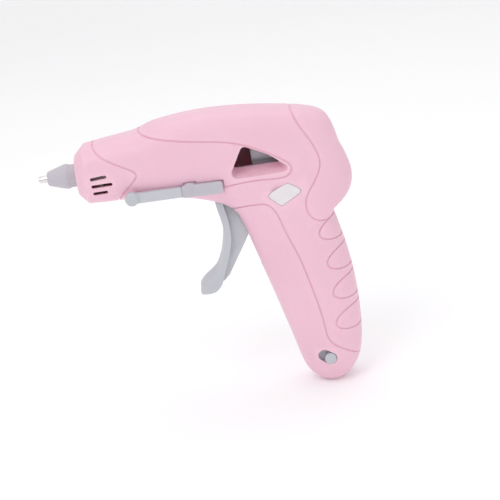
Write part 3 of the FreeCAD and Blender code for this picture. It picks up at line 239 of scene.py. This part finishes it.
def circuit(name, mask, copper):
    """Solder mask over copper tracks that run in straight lines."""
    nodes = Nodes(name)
    brick = nodes.add("ShaderNodeTexBrick")
    brick.inputs["Scale"].default_value = 260.0
    brick.inputs["Mortar Size"].default_value = 0.03
    brick.inputs["Color1"].default_value = (*mask, 1.0)
    brick.inputs["Color2"].default_value = (*[0.8 * c for c in mask], 1.0)
    brick.inputs["Mortar"].default_value = (*copper, 1.0)
    nodes.link(nodes.place, brick.inputs["Vector"])
    nodes.colour(nodes.blend(nodes.spread(nodes.noise(300.0), 0.0, 0.3), brick.outputs["Color"], mask))
    nodes.rough(nodes.spread(nodes.noise(500.0), 0.25, 0.40))
    nodes.normal(nodes.bump(brick.outputs["Fac"], 0.00003, 0.4))
    return nodes.material


def wrapped(name, base, shade):
    """Shrink film round a cell or a wire: smooth, with lengthwise pulls."""
    nodes = Nodes(name)
    pull = nodes.noise(1.0, 3.0, 0.6, nodes.stretched((300.0, 300.0, 40.0)))
    nodes.colour(nodes.ramp(pull, [(0.3, shade), (0.7, base)]))
    nodes.rough(nodes.spread(pull, 0.25, 0.38))
    nodes.normal(nodes.bump(pull, 0.00003, 0.4))
    return nodes.material


PINK = (0.872, 0.548, 0.658)
PINK_SHADE = (0.848, 0.520, 0.630)
GREY = (0.545, 0.560, 0.600)
GREY_SHADE = (0.510, 0.525, 0.565)
# for the moulded plastics, the last colour given is the painted highlight laid on their sharp convex
# edges
MATERIALS = {
    "pink": moulded("pink_shell", PINK, PINK_SHADE, 0.46, 0.00002, 0.12, (0.93, 0.62, 0.70)),
    "grey": moulded("grey_plastic", GREY, GREY_SHADE, 0.42, 0.00002, 0.05, (0.62, 0.63, 0.67)),
    "black": moulded("black_plastic", (0.03, 0.03, 0.032), (0.02, 0.02, 0.02), 0.45, 0.00002),
    "ceramic": moulded("ceramic", (0.74, 0.72, 0.66), (0.66, 0.64, 0.58), 0.55, 0.00003),
    "insulator": moulded("fibre_board", (0.70, 0.66, 0.56), (0.58, 0.54, 0.44), 0.75, 0.00006),
    "silicone": silicone("grey_silicone", (0.530, 0.500, 0.555), (0.490, 0.462, 0.515)),
    "lens": frosted("lamp_lens", (0.82, 0.78, 0.80), (0.78, 0.73, 0.76)),
    "led": frosted("led_body", (0.85, 0.80, 0.60), (0.80, 0.74, 0.52)),
    "steel": metal("plated_steel", (0.66, 0.66, 0.67), (0.55, 0.55, 0.56), 0.28),
    "chrome": metal("nozzle_metal", (0.82, 0.80, 0.78), (0.70, 0.68, 0.66), 0.20, (900.0, 60.0, 60.0)),
    "aluminium": metal(
        "cast_aluminium", (0.72, 0.72, 0.73), (0.60, 0.60, 0.61), 0.42, (300.0, 300.0, 300.0)
    ),
    "board": circuit("circuit_board", (0.02, 0.16, 0.07), (0.10, 0.30, 0.12)),
    "wrap": wrapped("cell_film", (0.05, 0.16, 0.50), (0.03, 0.11, 0.38)),
    "red_lead": wrapped("red_lead", (0.55, 0.03, 0.02), (0.42, 0.02, 0.015)),
    "black_lead": wrapped("black_lead", (0.03, 0.03, 0.03), (0.015, 0.015, 0.015)),
}


def paint(obj, material):
    """Give every slot of an object one material."""
    if not obj.material_slots:
        obj.data.materials.append(material)
    for slot in obj.material_slots:
        slot.material = material


for part in frame["record"]["subparts"]:
    paint(NODES[part["node"]], MATERIALS[part["material_slot"]])


# ---------------------------------------------------------------- softened edges
def soften(name, width, angle=40.0, segments=3):
    """Round a CAD node's sharp edges a little, as a mould does."""
    obj = NODES[name]
    weld = obj.modifiers.new("weld", "WELD")
    weld.merge_threshold = 0.000002
    bevel = obj.modifiers.new("round", "BEVEL")
    bevel.width = width
    bevel.segments = segments
    bevel.limit_method = "ANGLE"
    bevel.angle_limit = math.radians(angle)
    bevel.harden_normals = False
    normals = obj.modifiers.new("normals", "WEIGHTED_NORMAL")
    normals.keep_sharp = False


for name in ("stand_leg_left", "stand_leg_right"):
    soften(name, 0.0013)
for name in ("stand_foot_left", "stand_foot_right"):
    soften(name, 0.0005)
soften("switch_knob", 0.0003)
soften("trigger", 0.0008)


# ---------------------------------------------------------------- turned and swept pieces
def as_object(name, mesh, material, body):
    """Turn a built mesh into a smooth object that rides one of the bodies."""
    bmesh.ops.recalc_face_normals(mesh, faces=mesh.faces)
    data = bpy.data.meshes.new(name)
    mesh.to_mesh(data)
    mesh.free()
    for face in data.polygons:
        face.use_smooth = True
    obj = bpy.data.objects.new(name, data)
    bpy.context.scene.collection.objects.link(obj)
    paint(obj, material)
    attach(obj, body)
    return obj


def turned(profile, centre, steps=40):
    """A solid turned about the Y axis from (radius, y) points; it ends on the axis."""
    mesh = bmesh.new()
    rings = []
    for radius, y in profile:
        ring = []
        for k in range(steps):
            angle = 2 * math.pi * k / steps
            x = centre[0] + radius * math.cos(angle)
            z = centre[1] + radius * math.sin(angle)
            ring.append(mesh.verts.new((x, y, z)))
        rings.append(ring)
    for before, after in zip(rings, rings[1:]):
        for k in range(steps):
            mesh.faces.new((before[k], before[(k + 1) % steps], after[(k + 1) % steps], after[k]))
    for ring in (rings[0], rings[-1]):
        mesh.faces.new(ring)
    return mesh


STAND_PIVOT = (-0.0993, -0.0111)
# the dome over each end of the stand's axle: radius and distance from the middle, in mm
DOME = [
    (3.30, 18.95), (3.33, 19.15), (3.26, 19.45), (3.02, 19.78),
    (2.60, 20.04), (2.00, 20.24), (1.20, 20.36), (0.40, 20.41),
]
for side, name in ((-1, "left"), (1, "right")):
    profile = [(radius / 1000, side * y / 1000) for radius, y in DOME]
    as_object("pivot_dome_" + name, turned(profile, STAND_PIVOT), MATERIALS["grey"], "stand")


# ---------------------------------------------------------------- return spring
def coil(name, start, length, radius, wire, turns, sides=10, steps=28):
    """A compression spring along +X: wire swept round a helix, with closed end turns."""
    mesh = bmesh.new()
    rings = []
    total = int(turns * steps)
    for k in range(total + 1):
        t = k / total
        turn = 2 * math.pi * turns * t
        ease = t - 0.055 * math.sin(2 * math.pi * t)
        outward = Vector((0.0, math.cos(turn), math.sin(turn)))
        centre = Vector((start.x + length * ease, start.y, start.z)) + radius * outward
        ring = []
        for s in range(sides):
            angle = 2 * math.pi * s / sides
            way = outward * math.cos(angle) + Vector((math.sin(angle), 0.0, 0.0))
            ring.append(mesh.verts.new(centre + wire * way))
        rings.append(ring)
    for before, after in zip(rings, rings[1:]):
        for s in range(sides):
            mesh.faces.new((before[s], before[(s + 1) % sides], after[(s + 1) % sides], after[s]))
    mesh.faces.new(rings[0])
    mesh.faces.new(list(reversed(rings[-1])))
    bmesh.ops.recalc_face_normals(mesh, faces=mesh.faces)
    data = bpy.data.meshes.new(name)
    mesh.to_mesh(data)
    mesh.free()
    for face in data.polygons:
        face.use_smooth = True
    obj = bpy.data.objects.new(name, data)
    bpy.context.scene.collection.objects.link(obj)
    return obj


low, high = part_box("trigger_return_spring")
WIRE = 0.00035
middle = (low + high) / 2
SPRING_TURNS = 5.5
spring = coil(
    "return_spring",
    Vector((low.x + WIRE, middle.y, middle.z)),
    high.x - low.x - 2 * WIRE,
    (high.y - low.y) / 2 - WIRE,
    WIRE,
    SPRING_TURNS,
)
paint(spring, MATERIALS["steel"])
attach(spring, "gun")
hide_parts("trigger_return_spring")
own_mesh(spring)


# ---------------------------------------------------------------- floor, light and camera
def pale_floor(name, colour, roughness):
    """A matt, nearly white floor with a trace of its own light."""
    nodes = Nodes(name)
    nodes.colour(nodes.ramp(nodes.noise(4.0), [(0.3, colour), (0.7, tuple(0.99 * c for c in colour))]))
    nodes.set(Roughness=roughness, Emission_Color=(1.0, 1.0, 1.0, 1.0), Emission_Strength=0.12)
    return nodes.material


def backdrop():
    """A pale floor that curves up into a wall behind the object."""
    floor = CAD_LOW[2] - 0.0006
    mesh = bmesh.new()
    profile = [(-3.0, floor), (1.2, floor)]
    bend = 0.8
    for k in range(1, 13):
        angle = math.pi / 2 * k / 12
        profile.append((1.2 + bend * math.sin(angle), floor + bend * (1 - math.cos(angle))))
    profile.append((2.0, floor + 4.0))
    rows = [[mesh.verts.new((x, y, z)) for y, z in profile] for x in (-4.0, 4.0)]
    for k in range(len(profile) - 1):
        mesh.faces.new((rows[0][k], rows[1][k], rows[1][k + 1], rows[0][k + 1]))
    data = bpy.data.meshes.new("backdrop")
    mesh.to_mesh(data)
    mesh.free()
    for face in data.polygons:
        face.use_smooth = True
    obj = bpy.data.objects.new("backdrop", data)
    bpy.context.scene.collection.objects.link(obj)
    paint(obj, pale_floor("pale_floor", (0.92, 0.92, 0.93), 0.8))
    return obj


def area_light(name, place, target, size, power):
    data = bpy.data.lights.new(name, "AREA")
    data.size = size
    data.energy = power
    obj = bpy.data.objects.new(name, data)
    obj.location = place
    obj.rotation_euler = (Vector(target) - Vector(place)).to_track_quat("-Z", "Y").to_euler()
    bpy.context.scene.collection.objects.link(obj)
    return obj


backdrop()
AIM = (-0.05, 0.0, -0.05)
area_light("key", (-0.55, -0.70, 0.95), AIM, 0.7, 3.9)
area_light("fill", (0.9, -0.9, 0.30), AIM, 1.0, 1.4)
area_light("top", (0.0, 0.30, 1.1), AIM, 0.9, 2.6)

world = bpy.data.worlds.new("studio")
world.use_nodes = True
world.node_tree.nodes["Background"].inputs["Color"].default_value = (1.0, 1.0, 1.0, 1.0)
world.node_tree.nodes["Background"].inputs["Strength"].default_value = 0.70
bpy.context.scene.world = world
bpy.context.scene.view_settings.view_transform = "Standard"

CAMERA_PLACE = (-0.0467, -0.6743, 0.1685)
ELEVATION = math.radians(18.0)
ROLL = math.radians(8.0)
ahead = Vector((0.0, math.cos(ELEVATION), -math.sin(ELEVATION)))
level = Vector((1.0, 0.0, 0.0))
upright = Vector((0.0, math.sin(ELEVATION), math.cos(ELEVATION)))
right = level * math.cos(ROLL) - upright * math.sin(ROLL)
up = level * math.sin(ROLL) + upright * math.cos(ROLL)
lens = bpy.data.cameras.new("camera")
lens.angle = math.radians(20.0)
lens.clip_start = 0.01
camera = bpy.data.objects.new("camera", lens)
turn = Matrix((right, up, -ahead)).transposed().to_4x4()
camera.matrix_world = Matrix.Translation(CAMERA_PLACE) @ turn
bpy.context.scene.collection.objects.link(camera)
bpy.context.scene.camera = camera
